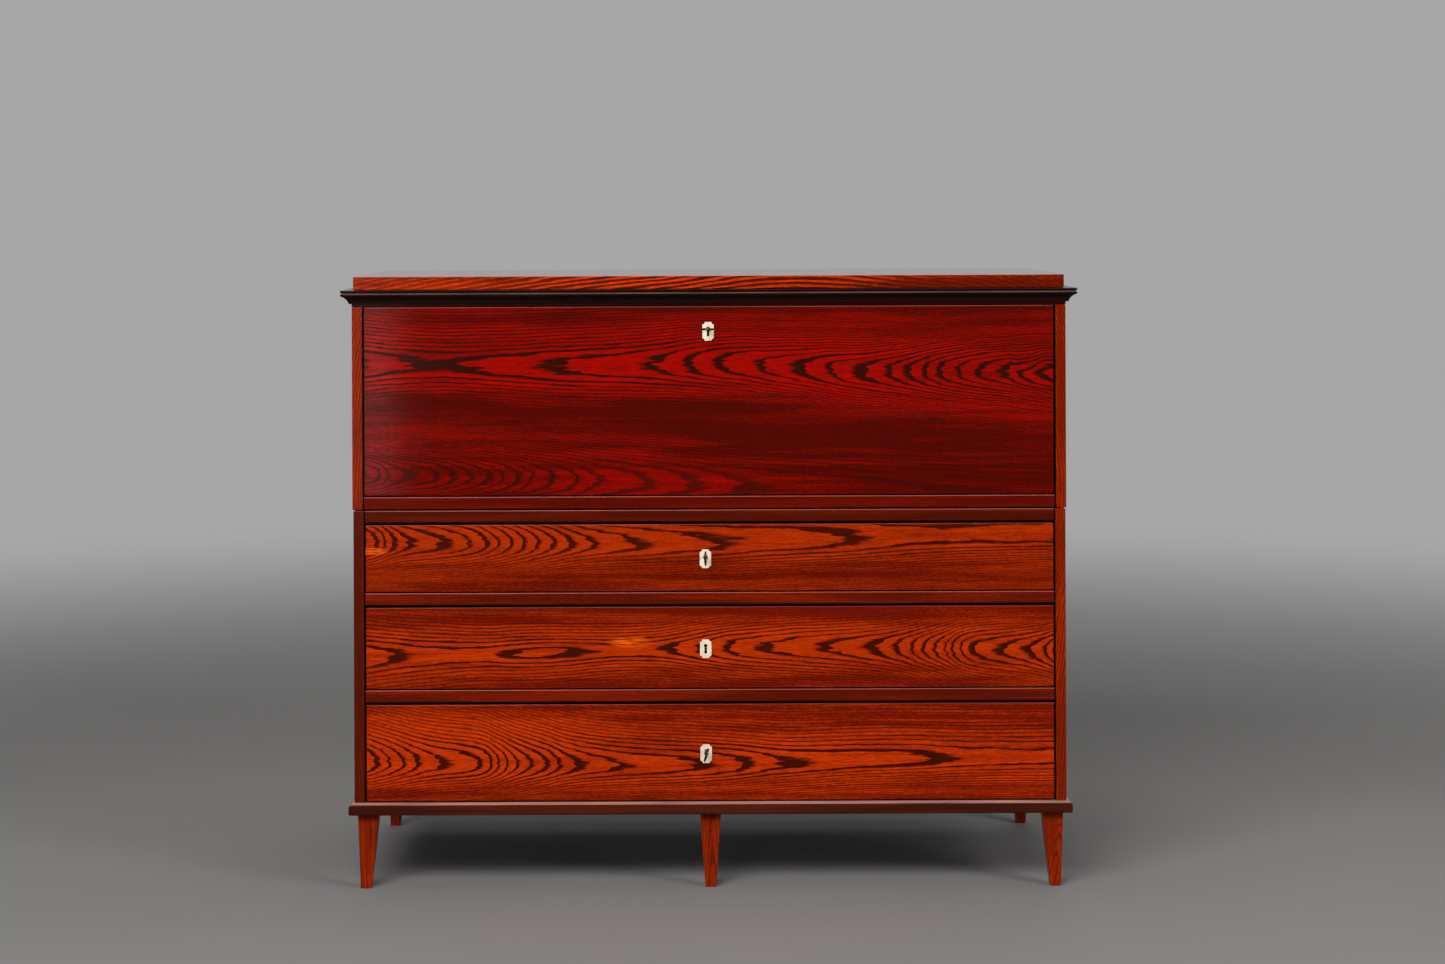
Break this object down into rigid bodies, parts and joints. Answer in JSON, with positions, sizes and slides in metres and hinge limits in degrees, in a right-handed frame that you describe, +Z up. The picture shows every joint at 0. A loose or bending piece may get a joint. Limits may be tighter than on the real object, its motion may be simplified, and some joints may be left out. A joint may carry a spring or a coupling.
{
  "type": "fall front secretaire",
  "caption": "Chest secretaire on tapered legs: a wide fall front on stays hides pigeonholes and small drawers, above dovetailed drawers with locks and keys.",
  "frame": {"origin": "on the floor under the middle of the whole piece, with the key bows that stand out in front", "axes": "+X to the right as seen from the front, the front faces -Y, +Z up"},
  "size_m": [1.225, 0.57, 1.0213],
  "materials": {
    "case_wood": "dark red stained ash, polished",
    "flap_wood": "crimson stained ash, polished",
    "drawer_wood": "orange red stained ash, polished",
    "leg_wood": "orange brown stained wood, satin",
    "moulding_wood": "near black red stained wood, polished",
    "inner_wood": "raw softwood",
    "nest_wood": "light stained wood, satin",
    "bone": "polished cream bone",
    "iron": "dark iron",
    "steel": "worn steel"
  },
  "bodies": {
    "case": {"base_board": "moulding_wood", "cornice_front": "moulding_wood", "cornice_left": "moulding_wood", "cornice_right": "moulding_wood", "drawer_rail_1": "case_wood", "drawer_rail_2": "case_wood", "dust_board_1": "inner_wood", "dust_board_2": "inner_wood", "interior_nest": "nest_wood", "leg_back_left": "leg_wood", "leg_back_right": "leg_wood", "leg_front_centre": "leg_wood", "leg_front_left": "leg_wood", "leg_front_right": "leg_wood", "lower_back_panel": "inner_wood", "lower_side_left": "case_wood", "lower_side_right": "case_wood", "lower_top_board": "case_wood", "pivot_left": "iron", "pivot_right": "iron", "stay_stop_left": "iron", "stay_stop_right": "iron", "top_board": "drawer_wood", "upper_back_panel": "inner_wood", "upper_bottom_rail": "case_wood", "upper_case_top": "case_wood", "upper_floor_board": "inner_wood", "upper_side_left": "case_wood", "upper_side_right": "case_wood"},
    "flap": {"fall_front": "flap_wood", "stay_left": "iron", "stay_right": "iron", "flap_lock": "iron", "flap_escutcheon": "bone"},
    "flap_key": {"flap_key": "steel"},
    "flap_bolt": {"flap_bolt": "iron"},
    "drawer_1": {"drawer_1_front": "drawer_wood", "drawer_1_box": "inner_wood", "drawer_1_bottom": "inner_wood", "lock_1": "iron", "escutcheon_1": "bone"},
    "key_1": {"key_1": "steel"},
    "bolt_1": {"bolt_1": "iron"},
    "drawer_2": {"drawer_2_front": "drawer_wood", "drawer_2_box": "inner_wood", "drawer_2_bottom": "inner_wood", "lock_2": "iron", "escutcheon_2": "bone"},
    "bolt_2": {"bolt_2": "iron"},
    "drawer_3": {"drawer_3_front": "drawer_wood", "drawer_3_box": "inner_wood", "drawer_3_bottom": "inner_wood", "lock_3": "iron", "escutcheon_3": "bone"},
    "key_3": {"key_3": "steel"},
    "bolt_3": {"bolt_3": "iron"},
    "small_drawer_left_bottom": {"small_drawer_left_bottom": "nest_wood"},
    "small_drawer_left_top": {"small_drawer_left_top": "nest_wood"},
    "small_drawer_right_bottom": {"small_drawer_right_bottom": "nest_wood"},
    "small_drawer_right_top": {"small_drawer_right_top": "nest_wood"}
  },
  "joints": [
    {"name": "flap_hinge", "type": "hinge", "parent": "case", "child": "flap", "pos_m": [0, -0.224, 0.6658], "axis": [1, 0, 0], "range_deg": [0, 90]},
    {"name": "flap_key_turn", "type": "hinge", "parent": "flap", "child": "flap_key", "pos_m": [-0.001, -0.235, 0.9336], "axis": [0, -1, 0], "range_deg": [0, 180]},
    {"name": "flap_bolt_slide", "type": "slide", "parent": "flap", "child": "flap_bolt", "axis": [0, 0, 1], "range_m": [0, 0.008]},
    {"name": "drawer_1_slide", "type": "slide", "parent": "case", "child": "drawer_1", "axis": [0, -1, 0], "range_m": [0, 0.38]},
    {"name": "key_1_turn", "type": "hinge", "parent": "drawer_1", "child": "key_1", "pos_m": [-0.007, -0.235, 0.55459], "axis": [0, -1, 0], "range_deg": [0, 90]},
    {"name": "bolt_1_slide", "type": "slide", "parent": "drawer_1", "child": "bolt_1", "axis": [0, 0, 1], "range_m": [0, 0.008]},
    {"name": "drawer_2_slide", "type": "slide", "parent": "case", "child": "drawer_2", "axis": [0, -1, 0], "range_m": [0, 0.38]},
    {"name": "bolt_2_slide", "type": "slide", "parent": "drawer_2", "child": "bolt_2", "axis": [0, 0, 1], "range_m": [0, 0.008]},
    {"name": "drawer_3_slide", "type": "slide", "parent": "case", "child": "drawer_3", "axis": [0, -1, 0], "range_m": [0, 0.38]},
    {"name": "key_3_turn", "type": "hinge", "parent": "drawer_3", "child": "key_3", "pos_m": [-0.007, -0.235, 0.22975], "axis": [0, -1, 0], "range_deg": [0, 107]},
    {"name": "bolt_3_slide", "type": "slide", "parent": "drawer_3", "child": "bolt_3", "axis": [0, 0, 1], "range_m": [0, 0.008]},
    {"name": "small_drawer_left_bottom_slide", "type": "slide", "parent": "case", "child": "small_drawer_left_bottom", "axis": [0, -1, 0], "range_m": [0, 0.14]},
    {"name": "small_drawer_left_top_slide", "type": "slide", "parent": "case", "child": "small_drawer_left_top", "axis": [0, -1, 0], "range_m": [0, 0.14]},
    {"name": "small_drawer_right_bottom_slide", "type": "slide", "parent": "case", "child": "small_drawer_right_bottom", "axis": [0, -1, 0], "range_m": [0, 0.14]},
    {"name": "small_drawer_right_top_slide", "type": "slide", "parent": "case", "child": "small_drawer_right_top", "axis": [0, -1, 0], "range_m": [0, 0.14]}
  ],
  "couplings": [
    {"joint": "flap_key_turn", "follows": "flap_bolt_slide", "rad_per_m": 392.69},
    {"joint": "key_1_turn", "follows": "bolt_1_slide", "rad_per_m": 196.34},
    {"joint": "key_3_turn", "follows": "bolt_3_slide", "rad_per_m": 233.43}
  ]
}
